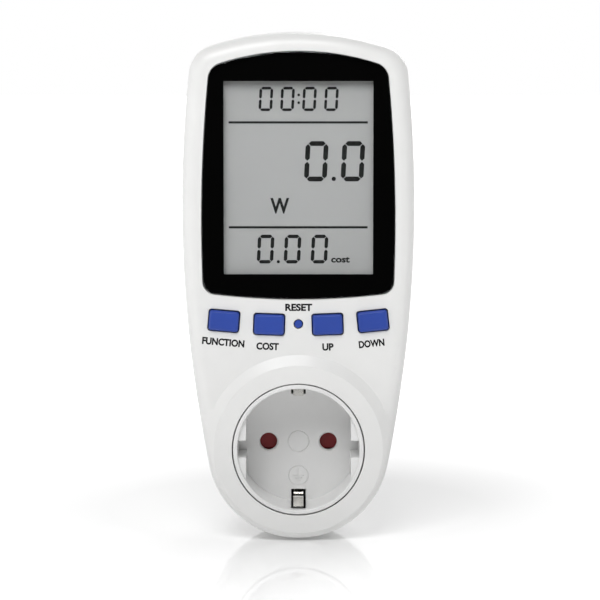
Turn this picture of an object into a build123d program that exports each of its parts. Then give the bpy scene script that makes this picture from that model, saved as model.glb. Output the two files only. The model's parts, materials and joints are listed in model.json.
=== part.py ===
from build123d import *
import os
from math import cos, hypot, radians, sin, sqrt, tan

# Plug-in power meter: a housing with a display, five buttons and an earthed socket in front,
# and an earthed plug behind.
#
# Frame, in millimetres: the origin is the middle of the plug's face, between the two pins.
# +X is to the right as the display is read, +Y goes into the wall and +Z is up.
# A "depth" below is a distance in front of the plug's face, which is minus Y, and a place is
# given as (x, height).

# ---- driving dimensions ------------------------------------------------------------------

# Mains interface
pin_spacing = 19.0            # between the two pins, plug and socket alike
pin_radius = 2.4
pin_length = 19.0             # free length of a plug pin
pin_end_radius = 1.6
pin_tail_radius = 1.7         # of the part held in the plug's moulding
pin_tail_length = 13.0
pin_tail_bore = 1.2           # drilled for the lead
pin_collar_radius = 3.25
pin_seat = 0.05               # how far the full radius goes into the plug's face
pin_hole_radius = 2.75        # hole in the socket's floor
pin_hole_mouth = 0.55         # the lead-in round a pin hole
recess_radius = 19.1          # the socket's round recess
recess_depth = 17.5
flat_height = 2.7             # of the side flats, inward from the recess's wall
plug_radius = 18.4            # the plug's own body
plug_flat = 15.6              # half the distance between its side flats
plug_wall = 2.0
plug_face_thickness = 3.0
plug_edge_radius = 1.0
plug_flange_width = 3.0
plug_flange_thickness = 2.5
plug_groove_length = 17.0
side_contact_width = 5.2
side_contact_thickness = 0.7
strap_slot_depth = 12.0       # where the side contacts' straps go into the plug
strap_slot_width = 2.0
collar_depth = 4.0            # of the pins' collars
collar_length = 2.0

# Housing outline at the parting plane
housing_width = 73.4
top_height = 129.9            # from the socket's axis up to the top
widest_height = 75.0
top_radius = 90.0
top_corner_radius = 9.5

# Housing depths and skin
rear_face_depth = 22.0
parting_depth = 39.0
front_face_depth = 57.0
wall = 2.4
front_draft = 2.0
rear_draft = 3.0
front_edge_radius = 4.5
rear_edge_radius = 3.0
parting_step = 0.25           # the rear shell is this much smaller all round
tongue_thickness = 1.0
tongue_height = 2.0
fit_gap = 0.15                # between pieces that sit in one another
touch_gap = 0.05              # between pieces that all but touch
join = 0.5                    # how far one feature is sunk into another to join it

# Raised ring round the socket
boss_height = 2.0             # how far it stands proud
boss_face_width = 5.6         # from the seam round the insert to the ring's slope
boss_slope_width = 3.2
bottom_step = 0.6             # the housing's lower end is this much inside the ring's foot

# Display window
window_side_margin = 6.5
window_top_margin = 5.9
window_rise = 7.6             # from the middle of the inner keys up to the window
window_widest_height = 70.0
window_side_radius = 480.0
window_top_radius = 80.0
window_bottom_radius = 217.0
window_top_corner = 5.5
window_bottom_corner = 4.2
lens_thickness = 1.5
lens_edge = 0.4
mask_thickness = 0.3
mask_side_margin = 7.0        # the black frame round the part of the display that shows
mask_top_margin = 9.35
mask_bottom_margin = 7.95
seat_width = 2.4              # the shelf that the lens is glued to
seat_thickness = 1.5
glass_margin = 2.7            # display cell beyond the part that shows
glass_thickness = 2.8
reflector_thickness = 0.5
holder_wall = 1.0
holder_gap = 0.1
strip_width = 2.2             # contact strips of rubber
strip_inset = 3.5             # their middle, inside the cell's end

# Buttons
button_width = 9.2
button_height = 6.2
button_corner = 0.8
button_gap = 0.4              # round a cap in its hole
button_proud = 1.3
button_edge = 0.5
button_spacing = 4.9          # between two caps side by side
reset_spacing = 4.5           # from the middle of the row to the inner caps
key_row_rise = 9.6            # from the raised ring up to the inner keys
outer_key_rise = 1.1          # the outer keys sit this much higher
outer_key_turns = {"function": -5.0, "down": 6.0}
inner_key_turn = 2.0
reset_radius = 1.25
reset_gap = 0.25
reset_proud = 0.15
flange_width = 0.9            # a cap's flange beyond its sides
flange_thickness = 0.8
flange_room = 1.7             # from the front wall's inside to the flange, for the travel
stem_radius = 1.5
switch_size = 6.0
switch_height = 3.6
plunger_radius = 1.7
plunger_gap = 0.1
plunger_sink = 1.6            # of the plunger in its switch
plunger_proud = 0.9
dome_thickness = 0.2

# Boards
board_thickness = 1.6
main_board_setback = 12.0     # its back face behind the housing's front face
main_board_margin = 1.9       # its edge inside the housing's wall
main_board_rise = 8.4         # its lower edge above the socket's recess
main_board_drop = 12.3        # its upper edge below the housing's top
power_board_lift = 8.4        # its back face in front of the housing's rear face
power_board_rise = 4.0        # its lower edge above the housing's round end
power_board_drop = 19.9
power_board_side = 9.7        # its edge inside the housing's widest
board_screw_radius = 1.0
board_head_radius = 2.0
board_head_height = 1.4
board_post_radius = 1.9
power_post_radius = 2.6
board_post_drop = 10.6        # the upper posts below the main board's upper edge
board_post_rise = 4.0
power_post_inset = 3.5
power_post_rise = 4.0
sheet_thickness = 0.3
sheet_lift = 1.2              # insulating sheet above the rear shell's floor

# Housing screws
post_radius = 2.9
upper_post_x = 16.0
upper_post_drop = 8.2
lower_post_reach = 3.8        # beyond the raised ring's foot
lower_post_angle = 39.9
screw_radius = 1.4
screw_head_radius = 2.6
screw_head_height = 1.9
screw_reach = 10.0            # into the front shell
thread_gap = 0.02
counterbore_depth = 6.0       # from the rear face to the screw head's seat

# Rating plate and cooling slots
plate_width = 44.0
plate_bottom = 53.0
plate_drop = 24.9             # its upper edge below the housing's top
plate_thickness = 0.5
plate_corner = 1.8
vent_count = 5
vent_pitch = 3.4
vent_width = 26.0
vent_height = 1.5
vent_rise = 8.1               # the lowest slot above the plug

# Socket insert
insert_wall = 1.35
lip_width = 1.4               # from the recess to the outside of the insert's lip
well_seam = 0.3               # between the insert's lip and the raised ring
floor_thickness = 2.0
collar_wall = 1.8             # of the front shell's guide round the insert
collar_height = 4.0
flat_recess = 1.2             # the side flats' front below the lip
key_notch_width = 5.4
clip_slot_width = 4.6
clip_slot_recess = 3.0        # the slots' front end below the lip
ear_radius = 2.2
ear_length = 5.0
carrier_screw_radius = 0.9
carrier_screw_inset = 3.25    # inside the insert's outer wall
carrier_head_radius = 1.7
carrier_head_height = 1.2

# Earth clips
clip_width = 3.2
clip_thickness = 0.6
clip_fold_radius = 0.9
clip_fold_gap = 0.05
clip_fold_setback = 1.9       # behind the insert's floor
clip_fold_inset = 0.5         # inside the recess's wall
clip_bulge_inset = 3.3
clip_swing_room = 2.9         # outward, behind each clip
clip_bend_radius = 2.0
yoke_thickness = 0.8
yoke_lift = 2.0               # in front of the carrier's back
cradle_wall = 0.7
earth_rivet_radius = 0.98

# Shutter and contacts
shutter_thickness = 2.6
shutter_cover = 0.65          # beyond a pin hole, all round
shutter_end_cover = 0.95
shutter_gap = 0.3
shutter_clear = 0.9           # travel beyond a pin hole's diameter
spring_radius = 1.25
spring_wire = 0.22
spring_length = 9.6
spring_turns = 7
contact_outer = 4.1
contact_wall = 0.9
contact_tail_width = 3.0

# Leads
lead_radius = 1.1
lead_outer_offset = 1.5       # outside a pin's axis
lead_inner_offset = 3.0       # inside a pin's axis
lead_room = 0.3
lead_end_rise = 6.0           # above the power board's lower edge

# Parts on the power board
shunt_width = 3.0
cell_radius = 5.8
cell_length = 5.6667
cell_count = 3
metering_chip_height = 15.4

# ---- derived dimensions and small helpers --------------------------------------------------

well_outer = recess_radius + insert_wall
well_lip_radius = recess_radius + lip_width
collar = well_lip_radius + well_seam
boss_top_radius = collar + boss_face_width
boss_foot_radius = boss_top_radius + boss_slope_width
bottom_radius = boss_foot_radius - bottom_step
side_radius = ((housing_width / 2) ** 2 + widest_height ** 2 - bottom_radius ** 2) / (
    housing_width - 2 * bottom_radius
)
boss_depth = front_face_depth + boss_height
boss_ledge = bottom_radius - (boss_depth - parting_depth) * tan(radians(front_draft)) - boss_top_radius
boss_edge_radius = 2 * boss_ledge
floor_depth = boss_depth - recess_depth
floor_back = floor_depth - floor_thickness
inner_front = front_face_depth - wall
inner_back = rear_face_depth + wall

key_row = boss_foot_radius + key_row_rise
inner_key_x = reset_spacing + button_width / 2
outer_key_x = inner_key_x + button_width + button_spacing
button_places = {
    "function": (-outer_key_x, key_row + outer_key_rise, outer_key_turns["function"]),
    "cost": (-inner_key_x, key_row, -inner_key_turn),
    "up": (inner_key_x, key_row, inner_key_turn),
    "down": (outer_key_x, key_row + outer_key_rise, outer_key_turns["down"]),
}
reset_place = (0.0, key_row + 0.1)

window_width = housing_width - 2 * window_side_margin
window_top = top_height - window_top_margin
window_bottom = key_row + window_rise
view_width = window_width - 2 * mask_side_margin
view_top = window_top - mask_top_margin
view_bottom = window_bottom + mask_bottom_margin
view_height = view_top - view_bottom
view_middle = (view_top + view_bottom) / 2
lens_back = front_face_depth - lens_thickness
seat_depth = lens_back - mask_thickness - touch_gap
seat_back = seat_depth - seat_thickness
glass_front = seat_back - 0.2
glass_back = glass_front - glass_thickness
glass_width = view_width + 2 * glass_margin
glass_height = view_height + 2 * glass_margin

main_board_depth = front_face_depth - main_board_setback
board_front = main_board_depth + board_thickness
main_board_inset = wall + main_board_margin
main_board_bottom = recess_radius + main_board_rise
main_board_top = top_height - main_board_drop
board_post_inset = wall + board_head_radius + 1.0
power_board_depth = rear_face_depth + power_board_lift
power_front = power_board_depth + board_thickness
power_board_bottom = bottom_radius + power_board_rise
power_board_top = top_height - power_board_drop
power_board_height = power_board_top - power_board_bottom
power_board_half_width = housing_width / 2 - power_board_side
power_middle = (power_board_bottom + power_board_top) / 2
switch_top = board_front + switch_height
plunger_top = switch_top + plunger_proud
flange_front = inner_front - flange_room

clip_slot_front = boss_depth - clip_slot_recess
clip_fold_depth = floor_back - clip_fold_setback
clip_fold_height = recess_radius - clip_fold_inset
clip_bulge_height = recess_radius - clip_bulge_inset
slot_inner = clip_bulge_height - 0.5
carrier_screw_x = well_outer - carrier_screw_inset
carrier_front = floor_back - 0.02
carrier_back = inner_back + plug_flange_thickness + touch_gap
shutter_half_width = pin_spacing / 2 + pin_hole_radius + shutter_end_cover
shutter_half_height = pin_hole_radius + shutter_cover
shutter_travel = 2 * pin_hole_radius + shutter_clear
shutter_front = floor_back - shutter_gap
shutter_back = shutter_front - shutter_thickness
spring_foot = shutter_half_height + touch_gap
spring_top = spring_foot + spring_length
yoke_front = carrier_back + yoke_lift
yoke_back = yoke_front - yoke_thickness
lead_inner_x = pin_spacing / 2 - lead_inner_offset
lead_outer_x = pin_spacing / 2 + lead_outer_offset
lead_depth = power_board_depth - lead_radius - touch_gap
lead_end_height = power_board_bottom + lead_end_rise
seat_of_head = rear_face_depth + counterbore_depth

LOW = (Align.CENTER, Align.CENTER, Align.MIN)
through = 1.0                 # how far a cut runs past a face

parts = {}


def at(depth):
    """The plane at a depth, seen from the front: local x is X, local y is Z."""
    return Plane.XZ.offset(depth)


def slab(sketch, back, front, taper=0.0):
    return extrude(at(back) * sketch, amount=front - back, taper=taper)


def block(x, z, width, height, back, front, turn=0.0):
    shape = Box(width, height, front - back, align=LOW)
    return at(back) * Pos(x, z) * Rot(0, 0, turn) * shape


def rod(x, z, radius, back, front):
    return at(back) * Pos(x, z) * Cylinder(radius, front - back, align=LOW)


def tube(x, z, outer, inner, back, front):
    return rod(x, z, outer, back, front) - rod(x, z, inner, back - through, front + through)


def rounded_block(x, z, width, height, corner, back, front, turn=0.0):
    sketch = Pos(x, z) * Rot(0, 0, turn) * RectangleRounded(width, height, corner)
    return slab(sketch, back, front)


def group(solids):
    return Compound(children=list(solids))


def mirrored_x(point):
    return (-point[0], point[1])


def on_both_sides(*places):
    """Each place and its mirror image."""
    return [(side * x, z) for x, z in places for side in (-1, 1)]


def crossings(centre_a, radius_a, centre_b, radius_b):
    """The two points where two circles cross."""
    dx = centre_b[0] - centre_a[0]
    dz = centre_b[1] - centre_a[1]
    apart = hypot(dx, dz)
    along = (radius_a**2 - radius_b**2 + apart**2) / (2 * apart)
    across = sqrt(radius_a**2 - along**2)
    foot = (centre_a[0] + along * dx / apart, centre_a[1] + along * dz / apart)
    return [
        (foot[0] - across * dz / apart, foot[1] + across * dx / apart),
        (foot[0] + across * dz / apart, foot[1] - across * dx / apart),
    ]


def arc_point(centre, radius, height):
    """The right-hand point of a circle at a height."""
    return (centre[0] + sqrt(radius**2 - (height - centre[1]) ** 2), height)


def half_width(height, inset):
    """Half the housing's width at a height, less an inset."""
    centre = (housing_width / 2 - side_radius, widest_height)
    return arc_point(centre, side_radius - inset, height)[0]


def housing_outline(inset=0.0):
    """Two long side arcs that run into a round lower end, and a gently crowned top."""
    side_centre = (housing_width / 2 - side_radius, widest_height)
    radius = side_radius - inset
    top_centre = (0, top_height - top_radius)
    corner = max(crossings(top_centre, top_radius - inset, side_centre, radius), key=lambda p: p[1])
    beyond = 1 - radius / hypot(*side_centre)
    foot = (side_centre[0] * beyond, side_centre[1] * beyond)
    middle = arc_point(side_centre, radius, (foot[1] + corner[1]) / 2)
    face = make_face(
        [
            ThreePointArc(foot, middle, corner),
            ThreePointArc(corner, (0, top_height - inset), mirrored_x(corner)),
            ThreePointArc(mirrored_x(corner), mirrored_x(middle), mirrored_x(foot)),
            ThreePointArc(mirrored_x(foot), (0, inset - bottom_radius), foot),
        ]
    )
    return fillet(face.vertices().sort_by(Axis.Y)[-2:], top_corner_radius - inset)


def window_outline(inset=0.0):
    """The display window: slightly bowed on all four sides, with rounded corners."""
    side_centre = (window_width / 2 - window_side_radius, window_widest_height)
    side = window_side_radius - inset
    top_centre = (0, window_top - window_top_radius)
    bottom_centre = (0, window_bottom + window_bottom_radius)
    upper = crossings(top_centre, window_top_radius - inset, side_centre, side)
    lower = crossings(bottom_centre, window_bottom_radius - inset, side_centre, side)
    top = max(upper, key=lambda p: p[1])
    bottom = min(lower, key=lambda p: p[1])
    middle = arc_point(side_centre, side, (top[1] + bottom[1]) / 2)
    face = make_face(
        [
            ThreePointArc(bottom, middle, top),
            ThreePointArc(top, (0, window_top - inset), mirrored_x(top)),
            ThreePointArc(mirrored_x(top), mirrored_x(middle), mirrored_x(bottom)),
            ThreePointArc(mirrored_x(bottom), (0, window_bottom + inset), bottom),
        ]
    )
    face = fillet(face.vertices().sort_by(Axis.Y)[-2:], window_top_corner - inset / 2)
    return fillet(face.vertices().sort_by(Axis.Y)[:2], window_bottom_corner - inset / 2)


def front_edges(solid):
    return solid.faces().sort_by(Axis.Y)[0].edges()


def back_edges(solid):
    return solid.faces().sort_by(Axis.Y)[-1].edges()


lower_post_radius = boss_foot_radius + lower_post_reach
housing_posts = on_both_sides(
    (upper_post_x, top_height - upper_post_drop),
    (
        lower_post_radius * cos(radians(lower_post_angle)),
        lower_post_radius * sin(radians(lower_post_angle)),
    ),
)
board_post_heights = (main_board_top - board_post_drop, main_board_bottom + board_post_rise)
board_posts = on_both_sides(*[(half_width(z, board_post_inset), z) for z in board_post_heights])
power_post_x = power_board_half_width - power_post_inset
power_posts = on_both_sides(
    (power_post_x, power_board_bottom + power_post_rise), (power_post_x, power_board_top - power_post_rise)
)

# ---- front shell ---------------------------------------------------------------------------


def boss_solid():
    """The raised ring: a cone-edged disc that runs out into the housing's round lower end."""
    slope = boss_slope_width / boss_height
    base = parting_depth + 3.0
    rise = boss_depth - base
    reach = boss_foot_radius + 2.4
    span = 2 * housing_width
    lower = slab(housing_outline(), parting_depth, boss_depth + through, front_draft)
    cone = Cone(boss_top_radius + slope * rise, boss_top_radius, rise, align=LOW)
    lower = lower & (at(base) * cone)
    lower = lower & block(0, reach - span / 2, span, span, base, boss_depth + through)
    rim = [
        e
        for e in lower.edges()
        if e.center().Y < 3 - boss_depth
        and e.center().Z < reach - 1
        and hypot(e.center().X, e.center().Z) > boss_top_radius + 0.5
    ]
    return fillet(rim, boss_edge_radius)


def shell_posts(places, radius, back):
    """Screw posts inside the front shell, trimmed where they would come through its side."""
    inside = slab(housing_outline(wall / 5), parting_depth, front_face_depth, front_draft)
    return [rod(x, z, radius, back, inner_front + join) & inside for x, z in places]


def front_shell():
    shell = slab(housing_outline(), parting_depth, front_face_depth, front_draft)
    shell = fillet(front_edges(shell), front_edge_radius)
    shell += boss_solid()
    cavity = slab(housing_outline(wall), parting_depth, inner_front, front_draft)
    cavity = fillet(front_edges(cavity), front_edge_radius - wall)
    shell -= cavity
    # socket hole with a short guide collar behind it, and coring under the raised ring
    shell += tube(0, 0, collar + collar_wall, collar, inner_front - collar_height, inner_front + join)
    shell -= rod(0, 0, collar, parting_depth, boss_depth + through)
    clip_room = clip_fold_height + clip_swing_room
    for side in (-1, 1):
        shell -= block(
            0, side * clip_room / 2, clip_slot_width + 0.4, clip_room, inner_front - collar_height - 1,
            clip_slot_front + 0.2,
        )
    shell -= tube(0, 0, boss_top_radius - 1.2, collar + collar_wall, inner_front - 1, boss_depth - wall)
    # window: lens pocket, the shelf behind it and the clear opening
    shell += slab(window_outline(-1.0), seat_back, inner_front + join)
    shell -= slab(window_outline(), seat_depth, front_face_depth + through)
    shell -= slab(window_outline(seat_width), seat_back - 3.5, front_face_depth + through)
    # button holes, each with a guide wall behind
    for x, z, turn in button_places.values():
        width = button_width + 2 * button_gap
        height = button_height + 2 * button_gap
        guide = rounded_block(
            x, z, width + 2.0, height + 2.0, 2 * button_corner, inner_front - 1.6, inner_front + join, turn
        )
        shell += guide - block(x, z, width + 1.0, height + 1.0, inner_front - 3, inner_front, turn)
        shell -= rounded_block(
            x, z, width, height, button_corner + 0.2, inner_front - 3, front_face_depth + through, turn
        )
    reset_hole = reset_radius + reset_gap
    shell += tube(*reset_place, reset_hole + 1.35, reset_hole, inner_front - 1.4, inner_front + join)
    shell -= rod(*reset_place, reset_hole, inner_front - 2, front_face_depth + through)
    # screw posts for the rear shell, and shorter ones for the main board
    for post in shell_posts(housing_posts, post_radius, parting_depth):
        shell += post
    for post in shell_posts(board_posts, board_post_radius, board_front):
        shell += post
    for x, z in housing_posts:
        shell -= rod(x, z, screw_radius, parting_depth - through, parting_depth + screw_reach + 2)
    for x, z in board_posts:
        shell -= rod(x, z, board_screw_radius, board_front - through, board_front + 6)
    return shell


parts["front_shell"] = front_shell()

# ---- rear shell ----------------------------------------------------------------------------


def rear_block(inset, back, radius):
    """The rear shell's tapered block from the parting plane back to a depth."""
    shape = extrude(at(parting_depth) * housing_outline(inset), amount=back - parting_depth, taper=rear_draft)
    return fillet(back_edges(shape), radius)


def rear_shell():
    """A tray that tapers to the back, with a tongue that slips inside the front shell."""
    shell = rear_block(parting_step, rear_face_depth, rear_edge_radius)
    shell -= rear_block(parting_step + wall, inner_back, rear_edge_radius - wall)
    tongue_outer = wall + fit_gap
    tongue_top = parting_depth + tongue_height
    tongue = slab(housing_outline(tongue_outer), parting_depth - 3, tongue_top)
    tongue -= slab(housing_outline(tongue_outer + tongue_thickness), parting_depth - 4, tongue_top + through)
    shell += tongue
    # posts that carry the screw heads, deep counterbored from behind
    outside = rear_block(parting_step, rear_face_depth, rear_edge_radius)
    for x, z in housing_posts:
        shell += rod(x, z, post_radius + 1.0, rear_face_depth, parting_depth) & outside
        shell -= rod(x, z, screw_head_radius + 0.3, rear_face_depth - through, seat_of_head)
        shell -= rod(x, z, screw_radius + 0.2, rear_face_depth, parting_depth + through)
        shell -= rod(x, z, post_radius + 0.4, parting_depth, tongue_top + through)
    for x, z in power_posts:
        shell += rod(x, z, power_post_radius, rear_face_depth + 1, power_board_depth)
        shell -= rod(x, z, board_screw_radius, power_board_depth - 5, power_board_depth + through)
    # the plug's neck passes through the back; its flange bears on the back from inside
    shell -= rod(0, 0, plug_radius + fit_gap, rear_face_depth - through, inner_back + through)
    # cooling slots above the plug, and the seat of the rating plate
    for n in range(vent_count):
        height = plug_radius + vent_rise + n * vent_pitch
        shell -= rounded_block(
            0, height, vent_width, vent_height, vent_height / 2 - touch_gap, rear_face_depth - through,
            inner_back + through,
        )
    seat = rounded_block(
        0, plate_middle, plate_width + 2 * fit_gap, plate_height + 2 * fit_gap, plate_corner + fit_gap,
        rear_face_depth - through, rear_face_depth + 0.1 + plate_thickness,
    )
    return shell - seat


plate_height = top_height - plate_drop - plate_bottom
plate_middle = plate_bottom + plate_height / 2
parts["rear_shell"] = rear_shell()
parts["rating_plate"] = rounded_block(
    0, plate_middle, plate_width, plate_height, plate_corner, rear_face_depth + 0.1,
    rear_face_depth + 0.1 + plate_thickness,
)


def cross_screw(x, z, radius, head_radius, head_height, tip, seat):
    """A pan-head screw whose head is at the seat and whose thread runs forward to the tip."""
    low = seat - head_height
    head = rod(x, z, head_radius, low, seat)
    head = fillet(back_edges(head), head_height * 0.45)
    body = head + rod(x, z, radius - thread_gap, seat, tip)
    arm = head_radius * 1.1
    slot_width = head_radius * 0.24
    slot_depth = head_height * 0.6
    body -= block(x, z, arm, slot_width, low - through, low + slot_depth)
    body -= block(x, z, slot_width, arm, low - through, low + slot_depth)
    return body


parts["housing_screws"] = group(
    cross_screw(
        x, z, screw_radius, screw_head_radius, screw_head_height, parting_depth + screw_reach, seat_of_head
    )
    for x, z in housing_posts
)

# ---- display -------------------------------------------------------------------------------

lens = slab(window_outline(fit_gap), lens_back, front_face_depth)
parts["display_lens"] = fillet(front_edges(lens), lens_edge)
mask = slab(window_outline(fit_gap), lens_back - mask_thickness, lens_back)
opening = block(0, view_middle, view_width, view_height, seat_depth - through, lens_back + through)
parts["window_mask"] = mask - opening
cell = block(0, view_middle, glass_width, glass_height, glass_back, glass_front)
parts["lcd_glass"] = chamfer(front_edges(cell), 0.25)
reflector_back = glass_back - reflector_thickness
parts["lcd_reflector"] = block(0, view_middle, glass_width - 1, glass_height - 1, reflector_back, glass_back)


def lcd_holder():
    """A frame that stands on the main board, open behind the cell, with a slot for each strip."""
    rim = 2 * (holder_wall + holder_gap)
    inner_width = glass_width - 2 * glass_margin - 0.6
    holder = block(0, view_middle, glass_width + rim, glass_height + rim, board_front, glass_front - 0.5)
    holder -= block(
        0, view_middle, glass_width + 2 * holder_gap, glass_height + 2 * holder_gap,
        reflector_back - touch_gap, glass_front + through,
    )
    open_height = glass_height - 4 * strip_inset
    holder -= block(0, view_middle, inner_width, open_height, board_front - through, glass_front)
    for z in strip_heights:
        holder -= block(0, z, inner_width, strip_width + 2 * holder_gap, board_front - through, glass_front)
    return holder


strip_offset = glass_height / 2 - strip_inset
strip_heights = (view_middle - strip_offset, view_middle + strip_offset)
parts["lcd_holder"] = lcd_holder()
strip_length = glass_width - 2 * glass_margin - 1.0
parts["zebra_strips"] = group(
    block(0, z, strip_length, strip_width, board_front, reflector_back) for z in strip_heights
)

# ---- buttons -------------------------------------------------------------------------------


def key_cap(x, z, turn):
    """A chamfered cap with a retaining flange behind the wall and a stem down to its switch."""
    front = front_face_depth + button_proud
    head = rounded_block(x, z, button_width, button_height, button_corner, flange_front, front, turn)
    head = chamfer(front_edges(head), button_edge)
    flange = rounded_block(
        x, z, button_width + 2 * flange_width, button_height + 2 * flange_width, button_corner,
        flange_front - flange_thickness, flange_front, turn,
    )
    return head + flange + rod(x, z, stem_radius, plunger_top, flange_front)


def reset_cap(x, z):
    """A round pin with the same flange and stem, smaller."""
    head = rod(x, z, reset_radius, flange_front, front_face_depth + reset_proud)
    head = fillet(front_edges(head), 0.35)
    flange = rod(x, z, reset_radius + 1.0, flange_front - flange_thickness, flange_front)
    return head + flange + rod(x, z, reset_radius, plunger_top, flange_front)


def switch_body(x, z, turn):
    body = block(x, z, switch_size, switch_size, board_front, switch_top, turn)
    body = chamfer(front_edges(body), 0.4)
    return body - rod(x, z, plunger_radius + plunger_gap, switch_top - plunger_sink - 1, switch_top + through)


def switch_dome(x, z):
    back = switch_top - plunger_sink - 0.95
    return rod(x, z, stem_radius, back, back + dome_thickness)


key_places = dict(button_places)
key_places["reset"] = (*reset_place, 0.0)
for name, (x, z, turn) in key_places.items():
    parts[name + "_button"] = reset_cap(x, z) if name == "reset" else key_cap(x, z, turn)
    parts[name + "_plunger"] = rod(x, z, plunger_radius, switch_top - plunger_sink, plunger_top)
parts["switch_bodies"] = group(switch_body(*place) for place in key_places.values())
parts["switch_domes"] = group(switch_dome(x, z) for x, z, turn in key_places.values())

# ---- main board ----------------------------------------------------------------------------


def main_board():
    """A board that follows the housing's sides, cut straight at its upper and lower edges."""
    height = main_board_top - main_board_bottom
    middle = (main_board_top + main_board_bottom) / 2
    band = block(0, middle, 2 * housing_width, height, main_board_depth, board_front)
    board = slab(housing_outline(main_board_inset), main_board_depth, board_front) & band
    for x, z in board_posts:
        board -= rod(x, z, board_screw_radius + 0.3, main_board_depth - through, board_front + through)
    return board


parts["main_board"] = main_board()
parts["board_screws"] = group(
    cross_screw(
        x, z, board_screw_radius, board_head_radius, board_head_height, board_front + 5, main_board_depth
    )
    for x, z in board_posts
)


def flat_chip(x, z, width, height, thick, legs, face, toward):
    """A chip with gull-wing legs on its two upright sides; toward is +1 for the front face."""
    body_faces = sorted((face + toward * 0.1, face + toward * (0.1 + thick)))
    leg_faces = sorted((face, face + toward * 0.6))
    body = block(x, z, width, height, *body_faces)
    pitch = height / legs
    for n in range(legs):
        leg_z = z + (n - (legs - 1) / 2) * pitch
        for side in (-1, 1):
            body += block(x + side * (width / 2 + 0.5), leg_z, 1.2, pitch * 0.45, *leg_faces)
    return body


chip_height = main_board_top - 33.6
parts["controller_chip"] = flat_chip(0, chip_height, 12.0, 12.0, 1.6, 8, main_board_depth, -1)
parts["crystal"] = rounded_block(
    -14.0, chip_height, 4.4, 10.6, 2.1, main_board_depth - 3.5, main_board_depth
)

# ---- socket insert -------------------------------------------------------------------------


def socket_well():
    """A cup with a round lip, side flats with a key notch each, pin holes and two clip slots."""
    well = rod(0, 0, well_outer, floor_back, boss_depth)
    well = well - rod(0, 0, recess_radius, floor_depth, boss_depth + through)
    rim = [
        e
        for e in well.edges()
        if e.geom_type == GeomType.CIRCLE and abs(e.center().Y + boss_depth) < 0.01
    ]
    well = fillet(rim, 0.35)
    shoulder = inner_front - collar_height - 0.1
    well += tube(0, 0, collar + collar_wall, recess_radius + join, shoulder - 1.3, shoulder)
    flats_front = boss_depth - flat_recess
    flats = rod(0, 0, recess_radius + 0.2, floor_depth - join, flats_front)
    flat_gap = 2 * (recess_radius - flat_height)
    flats -= block(0, 0, flat_gap, 3 * recess_radius, floor_depth - 1, boss_depth)
    flats -= block(0, 0, 2 * recess_radius + 1.0, key_notch_width, floor_depth, boss_depth)
    well += flats
    slot_height = recess_radius - slot_inner + 4.0
    for side in (-1, 1):
        x = side * pin_spacing / 2
        well -= rod(x, 0, pin_hole_radius, floor_back - through, floor_depth + through)
        mouth = Cone(pin_hole_radius, pin_hole_radius + pin_hole_mouth, pin_hole_mouth, align=LOW)
        well -= at(floor_depth - pin_hole_mouth + touch_gap) * Pos(x, 0) * mouth
        well -= block(
            0, side * (slot_inner + slot_height / 2), clip_slot_width, slot_height, floor_back - through,
            clip_slot_front,
        )
        # an ear behind the floor for a carrier screw
        x = side * carrier_screw_x
        ear_back = floor_back - ear_length
        ear = rod(x, 0, ear_radius, ear_back, floor_back + join)
        well += ear - rod(x, 0, carrier_screw_radius, ear_back - through, floor_back - join)
    return well


parts["socket_well"] = socket_well()

# ---- shutter -------------------------------------------------------------------------------


def shutter():
    """A plate across both pin holes, with a cam under each that a pin's end pushes up."""
    plate = rounded_block(
        0, 0, 2 * shutter_half_width, 2 * shutter_half_height, 1.2, shutter_back, shutter_front
    )
    cam = Rot(45, 0, 0) * Box(2 * pin_hole_radius + 1, 1.6, 1.6)
    for side in (-1, 1):
        plate -= at(shutter_front) * Pos(side * pin_spacing / 2, -shutter_half_height) * cam
    return plate


def shutter_spring():
    """A small compression spring that stands on the shutter's upper edge."""
    height = spring_length - 2 * spring_wire
    path = Helix(pitch=height / spring_turns, height=height, radius=spring_radius)
    section = Plane(origin=path @ 0, z_dir=path % 0) * Circle(spring_wire)
    coil = sweep(section, path=path, is_frenet=True)
    return Pos(0, -(shutter_front + shutter_back) / 2, spring_foot + spring_wire) * coil


parts["shutter"] = shutter()
parts["shutter_spring"] = shutter_spring()

# ---- contact carrier -----------------------------------------------------------------------


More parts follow.
